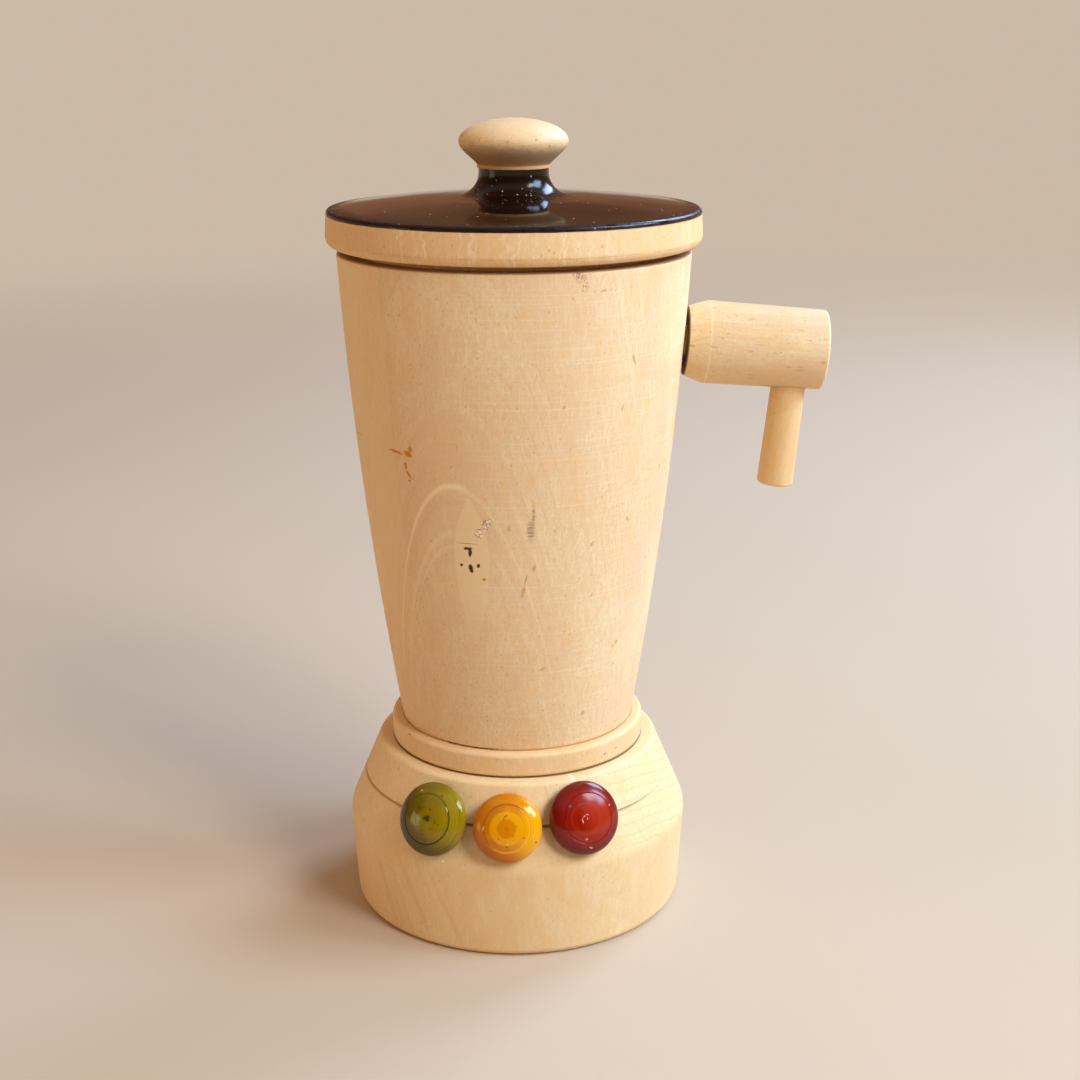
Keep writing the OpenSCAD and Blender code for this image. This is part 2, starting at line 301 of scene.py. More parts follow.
class Finish(Nodes):
    """A procedural material, in its colour, roughness and height. Its place is the object's own
    coordinates, in millimetres."""

    def __init__(self, name, **fixed):
        self.material = bpy.data.materials.new(name)
        self.material.use_nodes = True
        super().__init__(self.material.node_tree)
        self.fixed = fixed
        metres = self.node("ShaderNodeTexCoord", output="Object")
        self.place = self.scaled(metres, 1000, 1000, 1000)

    def along(self, place):
        """The same coordinates in a piece's own place, its Z along the piece's axis."""
        turn = place.to_euler()
        shift = place.translation * 1000
        self.place = self.node("ShaderNodeMapping", {"vector_type": "TEXTURE"}, {
            "Vector": self.place, "Location": shift, "Rotation": turn})

    def part(self, number):
        """One of the place's coordinates."""
        return self.axis(self.place, number)

    def from_axis(self, x=0.0, y=0.0):
        """Distance from an upright line, in millimetres."""
        across = self.vector("SUBTRACT", self.place, (x, y, 0))
        return self.length(self.scaled(across, 1, 1, 0))

    def paint(self, colour, share):
        """Changes the finish's colour towards another by a share from 0 to 1."""
        self.colour = self.mix(self.colour, colour, share)

    def round_front(self):
        """Degrees round the axis: 0 in front, positive to the right."""
        return self.part(0).math("ARCTAN2", self.part(0), self.part(1) * -1) * math.degrees(1)

    def skin(self):
        """The wall laid out flat, in millimetres: X round a 30 mm radius from the front, Y up."""
        skin_r = 30
        return self.node("ShaderNodeCombineXYZ", (), {
            "X": self.round_front() * (skin_r * math.radians(1)), "Y": self.part(2)})

    def specks(self, vector, across, along, half_width, share=1.0):
        """Specks that lie along Z, at most one in each cell of across by along millimetres."""
        cell = {"Vector": self.scaled(vector, 1 / across, 1 / across, 1 / along), "Scale": 1.0}
        distance = self.node("ShaderNodeTexVoronoi", (), cell)
        chance = self.node("ShaderNodeSeparateColor", (), {
            0: Value(self, distance.socket.node.outputs["Color"])})
        reach = chance.rise(1 - share, 1.0) * (half_width / across) + 0.001
        return (distance / reach).rise(1.3, 0.5)

    def marks(self, sheet, *ovals, soft=0.4):
        """Small marks on a sheet: each an oval (x, y, half length, half width, turn in degrees)."""
        found = 0.0
        for x, y, length, width, turn in ovals:
            own = self.node("ShaderNodeMapping", {"vector_type": "TEXTURE"}, {
                "Vector": sheet, "Location": (x, y, 0), "Rotation": (0, 0, math.radians(turn)),
                "Scale": (length, width, 1)})
            found = self.length(own).rise(1 + soft, 1 - soft).most(found)
        return found

    def done(self, depth, distant=None):
        """Ends the finish in its shader. A height of 1 stands up by the depth, in millimetres.
        Distant is a colour that takes over between a near and a far distance."""
        bump = self.node("ShaderNodeBump", (), {
            "Height": self.height, "Distance": depth * mm, "Strength": 1.0})
        shader = self.node("ShaderNodeBsdfPrincipled", (), {
            "Base Color": self.colour, "Roughness": self.roughness, "Normal": bump, **self.fixed})
        if distant:
            paper, near, far = distant
            distance = self.length(self.place).rise(near, far)
            seen = sum(self.node("ShaderNodeLightPath", output=f"Is {ray} Ray")
                       for ray in ("Camera", "Glossy", "Transmission"))
            glow = self.node("ShaderNodeEmission", (), {"Color": paper, "Strength": 1.0})
            shader = self.node("ShaderNodeMixShader", (), {0: distance * seen, 1: shader, 2: glow})
        self.node("ShaderNodeOutputMaterial", (), {"Surface": shader})
        return self.material


cream = (0.85, 0.695, 0.435)
tan = (0.74, 0.495, 0.27)
rose = (0.78, 0.51, 0.315)
honey = (0.80, 0.49, 0.20)
scraped = (0.95, 0.81, 0.60)
ring_brown = (0.66, 0.36, 0.15)
fleck_brown = (0.44, 0.18, 0.05)
fleck_orange = (0.62, 0.32, 0.10)


def bare_wood(name, seed, heart=None, pith=(0, 0), year=1.1, wander=2.0, warmth=0.0, place=None):
    """Bare turned wood with growth rings a year apart, in mm: flat layers across the direction
    heart, or round an upright pith. Its layers, rings, spot, fibre and mottle serve for marks."""
    finish = Finish(name, IOR=1.42)
    if place:
        finish.along(place)
    spot = finish.vector("ADD", finish.place, (seed * 17.3, seed * 5.9, seed * 31.7))
    layers = finish.from_axis(*pith)
    if heart:
        layers = finish.vector("DOT_PRODUCT", finish.place, heart, "Value")
    drift = finish.noise(spot, 0.04, 0.04, 0.02)
    shiver = finish.noise(spot, 0.4, 0.4, 0.08)
    finish.layers = layers
    finish.rings = layers + (drift - 0.5) * wander + (shiver - 0.5) * 0.35
    years = finish.wave_of(finish.rings / year + seed, detail=4, roughness=0.65)
    patches = finish.noise(spot, 0.1, 0.1, 0.035)
    latewood = (finish.rings / year).lines(0.12) * patches.rise(0.45, 0.65)
    tone = finish.noise(spot, 0.05, 0.05, 0.02, detail=3)
    blush = finish.noise(spot, 0.09, 0.09, 0.05, detail=3, roughness=0.6)
    fibre = finish.noise(spot, 2.3, 2.3, 0.16, detail=2, roughness=0.6)
    mottle = finish.noise(spot, 0.6, 0.6, 0.3, detail=4, roughness=0.6)
    feed = finish.noise(spot, 0.05, 0.05, 2.2, roughness=0.6)
    grit = finish.noise(spot, 2.7, 2.7, 1.5, detail=1, roughness=0.7)
    stipple = finish.noise(spot, 1.5, 1.5, 0.8, detail=3, roughness=0.7)
    blots = finish.noise(spot, 0.24, 0.24, 0.12, detail=4, roughness=0.65)
    pale = (0.5 + (years - 0.5) * 0.55 + (tone - 0.5) * 0.9 + (fibre - 0.5) * 0.4
            + (mottle - 0.5) * 0.5 + (grit - 0.5) * 0.7)
    finish.colour = finish.mix(tan, cream, pale.rise(0.0, 1.0))
    finish.paint(rose, blush.rise(0.4, 0.65) * 0.45)
    finish.paint(honey, stipple.rise(0.42, 0.72) * 0.45 + blots.rise(0.5, 0.6) * 0.25 + warmth)
    finish.paint(ring_brown, latewood * 0.22)
    nicks = finish.specks(finish.place, 1.4, 1.7, 0.16, 0.7)
    finish.paint(scraped, nicks * 0.4)
    fine = finish.specks(spot, 1.0, 1.4, 0.19, 0.85)
    long = finish.specks(spot, 3.1, 8.0, 0.3, 0.3)
    flecks = (fine * 0.65).most(long * 0.7) * mottle.rise(0.25, 0.5)
    finish.paint(fleck_orange, flecks)
    finish.spot, finish.fibre, finish.mottle = spot, fibre, mottle
    finish.height = fibre * 0.25 + feed * 0.2 + mottle * 0.3 + grit * 0.25 + nicks * 0.4 - flecks * 0.4
    finish.roughness = 0.5 + mottle * 0.16
    return finish


scribe_z = base_h - scribe_drop
scribe_half = scribe_w / 2 * math.cos(cone_lean)
base_outline = rounded([
    (0, base_h - seat_bore_depth), (seat_bore_r, base_h - seat_bore_depth), (seat_bore_r, base_h),
    (ledge_r, base_h, ledge_rounding),
    (ledge_r + (scribe_drop - scribe_half) * math.tan(cone_lean), scribe_z + scribe_half),
    (ledge_r + scribe_drop * math.tan(cone_lean) - scribe_half,
     scribe_z - scribe_w / 2 * math.sin(cone_lean)),
    (ledge_r + (scribe_drop + scribe_half) * math.tan(cone_lean), scribe_z - scribe_half),
    (base_r, shoulder_z, shoulder_rounding),
    (base_r - wall_draw, 0, ground_rounding),
    (0, 0)])
base_wood = bare_wood("base_wood", seed=3, pith=(-4.6, 6.5), year=0.8, wander=1.2,
                      warmth=0.15)
turn, height = base_wood.round_front(), base_wood.part(2)
arcs = ((base_wood.rings / 0.8).lines(0.17) * turn.near(100, 58, 78) * height.rise(16, 20)
        * base_wood.mottle.rise(0.2, 0.5))
base_wood.paint((0.86, 0.69, 0.31), 0.17)
base_wood.paint(ring_brown, arcs * 0.3)
wall = height.rise(shoulder_z * 1000, shoulder_z * 1000 - 2.5)
flame = base_wood.noise(base_wood.skin(), 0.35, 0.1, 0.0, detail=3, roughness=0.6)
base_wood.paint(honey, flame.rise(0.48, 0.56) * turn.near(-2, 14, 30) * wall * 0.3)
base_wood.paint(scraped, flame.rise(0.46, 0.38) * turn.near(8, 25, 45) * wall * 0.12)
bands = base_wood.marks(base_wood.skin(), (-27.1, 9.2, 6.0, 0.6, -73), (-19.7, 9.9, 6.5, 0.7, -69),
                        (-13.1, 8.4, 6.8, 0.5, -69), soft=0.8)
base_wood.paint(ring_brown, bands * wall * 0.28)
scribe = (height.near(scribe_z * 1000, 0.15, 0.4) * (1 - turn.near(90, 32, 50))
          * base_wood.from_axis().rise(ledge_r * 1000 + 0.1, ledge_r * 1000 + 0.5))
base_wood.paint((0.16, 0.06, 0.02), scribe * (0.4 + 0.3 * turn.near(2, 18, 30)))
shadow_line = (height.rise(base_h * 1000 - 0.2, base_h * 1000)
               * base_wood.from_axis().near(25.4, 0.3, 0.7))
base_wood.paint((0.16, 0.07, 0.03), shadow_line * 0.7)
cracks = base_wood.marks(base_wood.skin(), (5.2, 32.6, 1.7, 0.09, 98), (-10.1, 31.7, 0.3, 0.2, 40),
                         (9.1, 31.9, 0.3, 0.2, 120))
base_wood.paint(fleck_brown, cracks * 0.3)
chip = base_wood.marks(base_wood.skin(), (11.3, 34.5, 0.4, 0.3, 30), (-13.6, 19.6, 0.3, 0.2, 0))
base_wood.paint(scraped, chip * base_wood.from_axis().rise(25.8, 26.3) * 0.8)
base_finish = base_wood.done(depth=0.035)
knob_places = {colour: joint_place(colour + "_turn") for colour in ("green", "yellow", "red")}
base = drilled(turned("base_turned", base_outline, base_finish),
               knob_places.values(), shank_bore_r, shank_bore_depth)
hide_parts("base")
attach(base, "base")


# ---- Seat peg -----------------------------------------------------------------------------------
# A loose round dowel of the same bare wood, with both ends bevelled. It stands in the base and
# centres the jar on it.

peg_low, peg_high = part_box("seat_peg")
seat_peg_r = 5 * mm
peg_bevel = 0.6 * mm
peg_outline = [
    (0, peg_high.z), (seat_peg_r - peg_bevel, peg_high.z), (seat_peg_r, peg_high.z - peg_bevel),
    (seat_peg_r, peg_low.z + peg_bevel), (seat_peg_r - peg_bevel, peg_low.z), (0, peg_low.z)]
peg_wood = bare_wood("dowel_wood", seed=11, heart=(0.9, 0.4, 0.02))
peg_finish = peg_wood.done(depth=0.035)
seat_peg = turned("seat_peg_turned", peg_outline, peg_finish, steps=96)
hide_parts("seat_peg")
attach(seat_peg, "locating_peg")


# ---- Jar foot -----------------------------------------------------------------------------------
# A turned ring of bare wood under the jar, rounded at both edges. Its tenon is glued into the floor
# of the jar, and a blind socket below takes the seat peg.

foot_low, foot_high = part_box("jar_foot")
resting_gap = 0.02 * mm
foot_z = foot_low.z + resting_gap
jar_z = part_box("jar_body")[0].z
foot_r = 25.9 * mm
foot_rounding = 0.9 * mm
tenon_r = 9 * mm
socket_depth = 7.5 * mm
jar_bottom_r = 23.7 * mm
glue_gold = (0.50, 0.25, 0.07)
foot_outline = rounded([
    (0, foot_high.z), (tenon_r, foot_high.z), (tenon_r, jar_z),
    (foot_r, jar_z, foot_rounding), (foot_r, foot_z, foot_rounding), (seat_bore_r, foot_z),
    (seat_bore_r, foot_z + socket_depth), (0, foot_z + socket_depth)])
foot_wood = bare_wood("foot_wood", seed=5, heart=(-0.5, -0.85, -0.2), warmth=0.3)
turn, height = foot_wood.round_front(), foot_wood.part(2)
from_jar = foot_wood.from_axis() - jar_bottom_r * 1000
glue = height.rise(jar_z * 1000 - 0.3, jar_z * 1000 - 0.05) * from_jar.rise(0.45, 0.1)
foot_wood.paint(glue_gold, glue * foot_wood.mottle.rise(0.25, 0.5) * 0.7)
# Painted shade: the foot's lower rounded edge is darkened where shadow falls in the gap above the
# base.
under = height.rise(foot_z * 1000 + 0.35, foot_z * 1000 + 0.05)
foot_wood.paint((0.14, 0.06, 0.025), under * 0.85)
chips = foot_wood.marks(foot_wood.skin(), (21.5, 36.6, 0.5, 0.16, 8), (25.4, 36.9, 0.35, 0.15, 12),
                        (-30.5, 38.9, 0.5, 0.15, 0))
foot_wood.paint(fleck_brown, chips * 0.8)
foot_finish = foot_wood.done(depth=0.035)
jar_foot = turned("jar_foot_turned", foot_outline, foot_finish)
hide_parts("jar_foot")
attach(jar_foot, "jar")


# ---- Jar ----------------------------------------------------------------------------------------
# The jar is turned from one piece of pale wood and bored out, with a swelling, tapered wall and a
# straight mouth for the lid. A blind hole in its side takes the dowel of the handle.

jar_top_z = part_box("jar_body")[1].z
jar_h = jar_top_z - jar_z
jar_top_r = 34.3 * mm
jar_bulge = 1.3 * mm
jar_wall = 5.5 * mm
floor_t = 7 * mm
floor_rounding = 3 * mm
mouth_h = 8 * mm
rim_rounding = 0.6 * mm
glue_line = 0.03 * mm
dowel_r = 2.9 * mm
dowel_hole_depth = 4.5 * mm
handle_drop = 18 * mm


def jar_r(t):
    """Radius of the jar's wall: t is 0 at the foot and 1 at the rim."""
    return jar_bottom_r + (jar_top_r - jar_bottom_r) * t + 4 * jar_bulge * t * (1 - t)


handle_t = 1 - handle_drop / jar_h
handle_lean = math.atan((jar_top_r - jar_bottom_r + 4 * jar_bulge * (1 - 2 * handle_t)) / jar_h)
at_handle = (Matrix.Translation((jar_r(handle_t), 0, jar_top_z - handle_drop))
             @ Matrix.Rotation(math.pi / 2 + handle_lean, 4, "Y"))
wall_steps = 48
jar_outline = rounded([
    (tenon_r + glue_line, jar_z), (tenon_r + glue_line, jar_z + floor_t),
    (jar_bottom_r - jar_wall, jar_z + floor_t, floor_rounding),
    (jar_top_r - jar_wall, jar_top_z - mouth_h),
    (jar_top_r - jar_wall, jar_top_z, rim_rounding), (jar_top_r, jar_top_z, rim_rounding),
    *[(jar_r(1 - i / wall_steps), jar_top_z - jar_h * i / wall_steps)
      for i in range(1, wall_steps + 1)],
    (tenon_r + glue_line, jar_z)])
jar_wood = bare_wood("jar_wood", seed=1, heart=(-0.391, -0.921, -0.26), year=1.4, wander=0.6)
turn, height = jar_wood.round_front(), jar_wood.part(2)
outside = (jar_wood.from_axis() - height * 0.112).rise(17.0, 17.6)
skin = jar_wood.skin()
waver = jar_wood.node("ShaderNodeTexNoise", (), {"Vector": skin, "Scale": 2.2}, "Color")
ragged = jar_wood.vector("ADD", skin, jar_wood.scaled(waver, 0.5, 0.5, 0))

layer = jar_wood.layers + (jar_wood.mottle - 0.5) * 0.15
left = turn.rise(-12, -24)
upper = height.rise(48, 62) * outside
pale_arch = (layer.near(6.6, 0.0, 0.17) * (left * 0.55 + 0.3)
             + layer.near(8.0, 0.0, 0.2) * left * 0.35 + layer.near(8.4, 0.0, 0.14) * left * 0.3)
rosy_arch = layer.near(7.2, 0.1, 0.45) + layer.near(5.6, 0.2, 0.5) + layer.near(4.5, 0.1, 0.5)
jar_wood.paint(rose, rosy_arch * turn.near(-15, 35, 55) * upper * 0.4)
jar_wood.paint((0.93, 0.73, 0.47), pale_arch * turn.near(-20, 40, 60) * upper)

waver_x = jar_wood.node("ShaderNodeSeparateColor", (), {0: waver})
ragged_x = jar_wood.axis(ragged, 0)
knot_y = ((height - 80.5) / 12).most((80.5 - height) / 19)
knot_reach = abs(ragged_x + 8.9) / 3.5 + knot_y * knot_y
jar_wood.paint(rose, knot_reach.rise(1.5, 1.0) * outside * 0.4)
knot = knot_reach.rise(1.06, 0.92) * height.rise(58, 76) * outside
jar_wood.paint((0.85, 0.66, 0.35), knot * 0.6)
yellowed = turn.rise(-46, -48) * turn.rise(-175, -120) * height.rise(50, 75)
jar_wood.paint((0.84, 0.62, 0.32), yellowed * outside * 0.4)
sunned = turn.rise(50.5, 51.5) * turn.rise(175, 120) * height.near(124, 8, 8.6) * outside
jar_wood.paint((0.88, 0.67, 0.36), sunned * 0.25)

threads = jar_wood.wave_of(height * 1.45, detail=1).rise(0.5, 0.72)
strands = jar_wood.fibre.rise(0.5, 0.75)
crossing = jar_wood.noise(jar_wood.spot, 0.12, 0.12, 0.12).rise(0.35, 0.6)
cuts = ((height / 3.1 + jar_wood.wave_of(height * 0.21) * 1.5).lines(0.035)
        * jar_wood.noise(jar_wood.spot, 0.14, 0.14, 1.2).rise(0.42, 0.56))
# Painted sheen: lighter fibre threads and turning cuts, painted only on the right, lit side of the
# jar.
lit_side_sheen = (threads.most(strands) * crossing * 0.12 + cuts * 0.28) * turn.near(40, 40, 82) * outside
jar_wood.paint((0.96, 0.86, 0.68), lit_side_sheen)

rust_marks = jar_wood.marks(
    ragged, (14.2, 130.7, 0.5, 0.2, 20), (7.9, 109.8, 0.4, 0.25, 60), (21.2, 117.4, 1.1, 0.25, 110),
    (19.3, 108.5, 0.7, 0.2, 75), (3.1, 78.8, 0.7, 0.35, 70), (31.4, 76.3, 0.5, 0.3, 40),
    (23.8, 60.4, 0.45, 0.4, 0), (22.9, 59.6, 0.5, 0.25, 60), (16.0, 46.5, 0.6, 0.45, 20),
    (5.3, 57.6, 0.7, 0.25, 25), (5.7, 48.4, 0.3, 0.2, 0), (32.4, 94.5, 0.6, 0.25, 80),
    (15.4, 72.0, 0.5, 0.2, 60), (1.0, 74.0, 1.1, 0.3, 75), (14.7, 82.6, 0.6, 0.25, 50),
    (22.8, 86.2, 0.5, 0.3, 120))
jar_wood.paint((0.58, 0.30, 0.09), rust_marks * outside * 0.7)
paint = jar_wood.marks(
    ragged, (-23.8, 99.7, 1.7, 0.25, -8), (-20.8, 99.7, 0.95, 0.5, -25), (-20.2, 100.6, 0.75, 0.4, 80),
    (-21.6, 97.3, 0.9, 0.3, 95), (-21.1, 95.7, 0.9, 0.28, -50), (-6.6, 76.4, 0.3, 0.28, 0), soft=0.2)
jar_wood.paint((0.68, 0.21, 0.006), paint * outside)
smudge = (jar_wood.marks(ragged, (2.4, 86.2, 1.9, 0.6, 92), (2.9, 89.0, 2.2, 0.25, 90), soft=0.6)
          * (0.3 + 0.7 * jar_wood.wave_of(height * 3.0 + waver_x).rise(0.4, 0.6)))
speckled = (jar_wood.marks(skin, (9.8, 133.2, 1.3, 0.8, -50), (10.8, 131.4, 0.9, 0.5, 70), soft=0.6)
            * jar_wood.noise(jar_wood.spot, 2.5, 2.5, 2.5, detail=1).rise(0.45, 0.6))
dots = jar_wood.marks(ragged, (-21.0, 94.5, 0.35, 0.2, 0), (-20.1, 95.0, 0.3, 0.15, 0),
                      (1.5, 76.4, 1.2, 0.12, 80))
grey = smudge.most(speckled * 0.9).most(dots * 0.8)
jar_wood.paint((0.20, 0.12, 0.07), grey * outside * 0.75)
hair = jar_wood.marks(skin, (-9.8, 83.25, 1.9, 0.09, 0), (-39.3, 99.9, 2.1, 0.12, 4))
jar_wood.paint(fleck_brown, hair * outside * 0.75)
pits = jar_wood.marks(
    ragged, (-9.5, 82.5, 0.8, 0.3, 0), (-9.1, 81.7, 0.85, 0.35, 82), (-11.0, 79.1, 0.35, 0.28, 60),
    (-9.1, 78.5, 0.85, 0.42, 100), (-7.6, 79.2, 0.4, 0.28, 70), soft=0.25) * outside
jar_wood.paint((0.06, 0.018, 0.005), pits)
crackle = jar_wood.marks(skin, (-7.4, 85.4, 1.2, 0.8, 60), (-5.9, 87.4, 1.5, 0.8, 55)) * outside
cell = jar_wood.node("ShaderNodeTexVoronoi", {"feature": "DISTANCE_TO_EDGE"},
                     {"Vector": jar_wood.scaled(ragged, 1.3, 1.3, 0), "Scale": 1.0})
jar_wood.paint((0.95, 0.85, 0.68), crackle * cell.rise(0.06, 0.2) * 0.5)
jar_wood.paint((0.25, 0.12, 0.04), crackle * cell.rise(0.09, 0.02) * 0.8)

# Painted shade: the top of the rim is darkened where the lid's shadow falls in the gap.
rim_top_shade = height.rise(jar_top_z * 1000 - 0.35, jar_top_z * 1000 - 0.1)
jar_wood.paint((0.26, 0.12, 0.045), rim_top_shade * 0.75)
seam = (height - jar_z * 1000).rise(0.5, 0.1) * jar_wood.from_axis().rise(22.5, 23)
stain = turn.near(-26, 12, 17) * jar_wood.noise(jar_wood.spot, 0.9, 0.9, 2.0).rise(0.36, 0.5)
jar_wood.paint(glue_gold, seam * 0.75)
jar_wood.paint((0.07, 0.03, 0.012), seam * stain)
jar_wood.height -= pits
jar_finish = jar_wood.done(depth=0.035)
jar_body = drilled(turned("jar_turned", jar_outline, jar_finish),
                   [at_handle], dowel_r + glue_line, dowel_hole_depth)
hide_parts("jar_body")
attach(jar_body, "jar")


# ---- Handle -------------------------------------------------------------------------------------
# A thick turned bar with a coned inner end, held off the jar by a dowel, and a thin peg that hangs
# from a hole near its outer end. All three are bare wood, glued together.

dowel_in_wall = 4 * mm
bar_gap = 0.5 * mm
dowel_in_bar = 12 * mm
end_space = 0.5 * mm
bar_r = 8.15 * mm
bar_end_r = 7.85 * mm
bar_start_r = 6.8 * mm
bar_len = 27.4 * mm
bar_cone_len = 3.9 * mm
bar_rounding = 0.6 * mm
grip_r = 3.4 * mm
grip_end_r = 3.6 * mm
grip_inset = 5.9 * mm
grip_in_bar = 9 * mm
grip_len = 19.5 * mm
grip_rounding = 0.5 * mm
grip_lean = math.radians(1.3)
at_bar = at_handle @ Matrix.Translation((0, 0, bar_gap))
at_grip = (at_bar @ Matrix.Translation((0, 0, bar_len - grip_inset))
           @ Matrix.Rotation(math.pi / 2 + grip_lean, 4, "Y"))
bar_outline = rounded([
    (0, bar_len), (bar_end_r, bar_len, bar_rounding), (bar_r, bar_cone_len), (bar_start_r, 0),
    (dowel_r + glue_line, 0), (dowel_r + glue_line, dowel_in_bar + end_space),
    (0, dowel_in_bar + end_space)])
dowel_outline = [
    (0, bar_gap + dowel_in_bar), (dowel_r, bar_gap + dowel_in_bar),
    (dowel_r, -dowel_in_wall), (0, -dowel_in_wall)]
grip_low = bar_r - grip_in_bar
grip_outline = rounded([
    (0, bar_r + grip_len), (grip_end_r, bar_r + grip_len, grip_rounding),
    (grip_r, bar_r), (grip_r, grip_low), (0, grip_low)])
bar_wood = bare_wood("bar_wood", seed=7, heart=(0.6, -0.8, 0.03), year=2.6, place=at_bar)
skin, out = bar_wood.skin(), bar_wood.part(2)
circles = out.near(8.2, 0.03, 0.25) * 0.12 + out.near(18.6, 0.03, 0.25) * 0.1
bar_wood.paint(ring_brown, circles)
dashes = bar_wood.specks(bar_wood.place, 1.4, 3.6, 0.3, 0.85)
bar_wood.paint(fleck_orange, dashes * 0.55)
# Painted shade: the bar's lower side is darker and warmer.
low_side_shade = bar_wood.part(0).rise(-2.0, 8.0)
bar_wood.paint((0.70, 0.44, 0.20), low_side_shade * 0.35)
shaded = out.rise(0.15, 0.02) * bar_wood.from_axis().rise(3.0, 3.3)
bar_wood.paint((0.20, 0.11, 0.045), shaded * 0.7)
edges = out.near(bar_cone_len * 1000 + 0.15, 0.05, 0.3).most(out.rise(26.9, 27.3))
bar_wood.paint(scraped, edges * 0.3)
stains = bar_wood.marks(skin, (-1.6, 4.6, 0.9, 0.28, 60), (12.0, 21.8, 1.1, 0.4, 100),
                        (-18.3, 21.3, 0.9, 0.25, 85), (-11.0, 23.1, 0.7, 0.3, 70),
                        (19.0, 12.6, 0.9, 0.2, 95), (-5.3, 13.6, 0.8, 0.2, 88))
bar_wood.paint((0.47, 0.22, 0.06), stains * 0.55)
end_grain = out.rise(bar_len * 1000 - 0.12, bar_len * 1000 - 0.02)
end_rings = (bar_wood.rings / 1.3).lines(0.3)
bar_wood.paint((0.60, 0.40, 0.22), end_grain * (0.55 + end_rings * 0.3))
bar_finish = bar_wood.done(depth=0.035)
grip_wood = bare_wood("grip_wood", seed=8, heart=(0.7, 0.7, 0.02), warmth=0.55, place=at_grip)
grip_finish = grip_wood.done(depth=0.03)
handle_bar = drilled(turned("bar_turned", bar_outline, bar_finish, at_bar),
                     [at_grip @ Matrix.Translation((0, 0, bar_r))],
                     grip_r + glue_line, grip_in_bar + end_space)
dowel_wood = bare_wood("handle_dowel_wood", seed=9, heart=(0.5, 0.8, 0.02), warmth=0.8,
                       place=at_bar)
# Painted light: the dowel's colour is lifted to a light gold, standing in for light that falls on it
# in the gap.
dowel_wood.paint((1.0, 0.68, 0.24), 0.8)
dowel_finish = dowel_wood.done(depth=0.03)
handle_dowel = turned("dowel_turned", dowel_outline, dowel_finish, at_handle, steps=96)
handle_peg = turned("grip_turned", grip_outline, grip_finish, at_grip, steps=128)
for piece, node in ((handle_bar, "handle_bar"), (handle_dowel, "handle_dowel"),
                    (handle_peg, "handle_peg")):
    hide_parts(node)
    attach(piece, "jar")


# ---- Lid ----------------------------------------------------------------------------------------
# The lid is one turned piece: a plug for the jar's mouth, a narrow shoulder, a disc with a domed top
# and a neck in a cove. The top and the neck are lacquered dark brown on the lathe, the rest is bare.

lid_low, lid_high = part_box("lid_disc")
plug_h = 5 * mm
lid_gap = 1.1 * mm
lid_z = lid_low.z + plug_h + lid_gap
plug_r = 28.4 * mm
plug_rounding = 0.8 * mm
seat_r = 31.1 * mm
lid_r = 36.4 * mm
lid_draw = 0.4 * mm
lid_t = 7 * mm
lid_under_rounding = 2 * mm
lid_top_rounding = 0.8 * mm
dome_h = 2.6 * mm
neck_r = 6.75 * mm
cove_rounding = 4.3 * mm
knob_tenon_r = 3 * mm
knob_tenon_depth = 7.5 * mm
dome_span = lid_r - lid_draw
dome_ball_r = (dome_span ** 2 + dome_h ** 2) / (2 * dome_h)


def dome_z(r):
    """Height of the domed top of the lid at a radius."""
    return lid_z + lid_t + math.sqrt(dome_ball_r ** 2 - r ** 2) - dome_ball_r + dome_h


dome_steps = 24
cove_start = neck_r + 2 * cove_rounding
lid_outline = rounded([
    (0, lid_high.z - knob_tenon_depth), (knob_tenon_r + glue_line, lid_high.z - knob_tenon_depth),
    (knob_tenon_r + glue_line, lid_high.z), (neck_r, lid_high.z),
    (neck_r, dome_z(neck_r), cove_rounding),
    *[(r, dome_z(r)) for r in (cove_start + (dome_span - cove_start) * i / dome_steps
                               for i in range(dome_steps))],
    (dome_span, lid_z + lid_t, lid_top_rounding),
    (lid_r, lid_z, lid_under_rounding),
    (seat_r, lid_z), (seat_r, lid_z - lid_gap), (plug_r, lid_z - lid_gap),
    (plug_r, lid_low.z, plug_rounding), (0, lid_low.z)], steps=16)
lid_wood = bare_wood("lid_wood_and_lacquer", seed=2, heart=(0.8, -0.6, 0.05), year=1.3,
                     warmth=0.34)
height, turn = lid_wood.part(2), lid_wood.round_front()
waver = lid_wood.noise(lid_wood.spot, 0.25, 0.25, 0.35)
ripple = (lid_wood.wave_of(turn * 0.42 + waver * 4.0, detail=2).rise(0.5, 0.68)
          * lid_wood.noise(lid_wood.skin(), 1.1, 0.1, 0.0, roughness=0.6).rise(0.35, 0.6))
# Painted shade: the rim is darker on the left side.
lid_wood.paint((0.66, 0.41, 0.18), turn.near(-75, 30, 95) * 0.3)
lid_wood.paint((0.95, 0.76, 0.52), ripple * turn.near(-8, 25, 50) * 0.5)
low_line = height.near(lid_z * 1000 + 1.5, 0.03, 0.14) * waver.rise(0.4, 0.6)
dashes = lid_wood.marks(lid_wood.skin(), (-21.3, 138.1, 0.35, 0.1, 5), (-9.6, 139.0, 0.3, 0.12, 80),
                        (3.4, 137.4, 0.25, 0.1, 88), (12.7, 138.6, 0.3, 0.12, 70),
                        (24.6, 139.2, 0.4, 0.1, 10), (-30.5, 139.3, 0.25, 0.12, 75))
lid_wood.paint(fleck_brown, (low_line * 0.35).most(dashes * 0.5))

